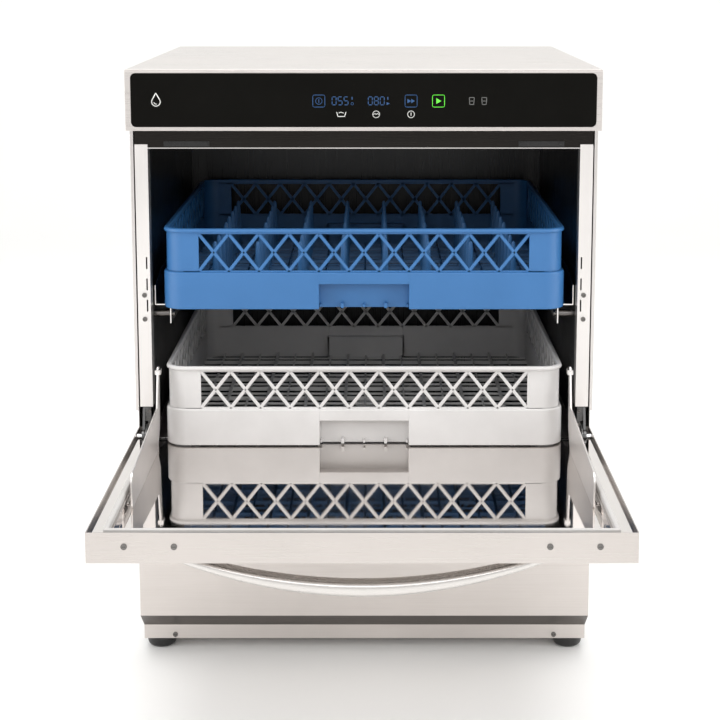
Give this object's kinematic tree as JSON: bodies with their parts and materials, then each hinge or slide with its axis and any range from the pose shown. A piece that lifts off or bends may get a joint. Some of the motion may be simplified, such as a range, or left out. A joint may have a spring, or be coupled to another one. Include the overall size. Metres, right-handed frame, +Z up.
{
  "type": "commercial undercounter dishwasher",
  "caption": "Undercounter commercial dishwasher with a drop-down door, two sliding racks and rotating spray arms.",
  "frame": {"origin": "on the floor, under the middle of the cabinet's width and depth", "axes": "+Z up, +X to the right seen from the front, the door faces -Y"},
  "size_m": [0.575, 0.9944, 0.76],
  "materials": {
    "brushed_steel": "brushed sheet steel",
    "polished_steel": "bright polished sheet steel",
    "chamber_steel": "satin pressed steel",
    "dark_steel": "dark coated steel",
    "fastener_steel": "plated steel",
    "black_glass": "black printed glass",
    "circuit_board": "green circuit board",
    "machinery_grey": "plain machinery grey",
    "black_plastic": "moulded black plastic",
    "white_plastic": "moulded white plastic",
    "seal_rubber": "soft grey rubber",
    "blue_plastic": "moulded blue plastic",
    "light_grey_plastic": "moulded light grey plastic",
    "arm_steel": "satin welded steel"
  },
  "bodies": {
    "cabinet": {"base_tray": "brushed_steel", "side_panel_left": "brushed_steel", "side_panel_right": "brushed_steel", "rear_panel": "brushed_steel", "top_panel": "brushed_steel", "lower_front_panel": "brushed_steel", "control_fascia": "brushed_steel", "control_glass": "black_glass", "display_board": "circuit_board", "control_box": "machinery_grey", "front_crossbar": "chamber_steel", "front_post_left": "polished_steel", "front_post_right": "polished_steel", "door_catches": "dark_steel", "wash_chamber": "chamber_steel", "upper_rail_left": "polished_steel", "upper_rail_right": "polished_steel", "lower_rail_left": "polished_steel", "lower_rail_right": "polished_steel", "rail_bolts": "fastener_steel", "frame_screws": "fastener_steel", "panel_screws": "fastener_steel", "hinge_bracket_left": "dark_steel", "hinge_bracket_right": "dark_steel", "hinge_pins": "fastener_steel", "door_springs": "dark_steel", "spring_anchors": "dark_steel", "filter_plates": "chamber_steel", "filter_basket": "chamber_steel", "overflow_pipe": "white_plastic", "tank_heater": "chamber_steel", "lower_spindle": "white_plastic", "upper_spindle": "white_plastic", "wash_pump": "machinery_grey", "wash_manifold": "machinery_grey", "drain_pump": "black_plastic", "boiler": "machinery_grey", "dosing_pumps": "white_plastic", "inlet_valve": "white_plastic", "drain_outlet": "black_plastic", "cable_gland": "black_plastic", "foot_front_left": "black_plastic", "foot_front_right": "black_plastic", "foot_rear_left": "black_plastic", "foot_rear_right": "black_plastic"},
    "door": {"door_outer_panel": "brushed_steel", "door_liner": "polished_steel", "door_seal": "seal_rubber", "door_handle": "brushed_steel", "door_screws": "fastener_steel", "hinge_lever_left": "dark_steel", "hinge_lever_right": "dark_steel", "rack_guide_left": "polished_steel", "rack_guide_right": "polished_steel"},
    "upper_rack": {"upper_rack": "blue_plastic"},
    "lower_rack": {"lower_rack": "light_grey_plastic"},
    "lower_wash_arm": {"lower_wash_arm": "arm_steel"},
    "lower_rinse_arm": {"lower_rinse_arm": "arm_steel"},
    "upper_wash_arm": {"upper_wash_arm": "arm_steel"},
    "upper_rinse_arm": {"upper_rinse_arm": "arm_steel"}
  },
  "joints": [
    {"name": "door_hinge", "type": "hinge", "parent": "cabinet", "child": "door", "pos_m": [0, -0.2755, 0.298], "axis": [1, 0, 0], "range_deg": [-90, 0], "deforming": ["door_springs"]},
    {"name": "upper_rack_slide", "type": "slide", "parent": "cabinet", "child": "upper_rack", "axis": [0, -1, 0], "range_m": [0, 0.3]},
    {"name": "lower_rack_slide", "type": "slide", "parent": "cabinet", "child": "lower_rack", "axis": [0, -1, 0], "range_m": [0, 0.36]},
    {"name": "lower_wash_arm_spin", "type": "hinge", "parent": "cabinet", "child": "lower_wash_arm", "pos_m": [0, -0.0075, 0.24], "axis": [0, 0, 1], "continuous": true},
    {"name": "lower_rinse_arm_spin", "type": "hinge", "parent": "cabinet", "child": "lower_rinse_arm", "pos_m": [0, -0.0075, 0.26], "axis": [0, 0, 1], "continuous": true},
    {"name": "upper_wash_arm_spin", "type": "hinge", "parent": "cabinet", "child": "upper_wash_arm", "pos_m": [0, -0.0075, 0.695], "axis": [0, 0, 1], "continuous": true},
    {"name": "upper_rinse_arm_spin", "type": "hinge", "parent": "cabinet", "child": "upper_rinse_arm", "pos_m": [0, -0.0075, 0.675], "axis": [0, 0, 1], "continuous": true}
  ]
}
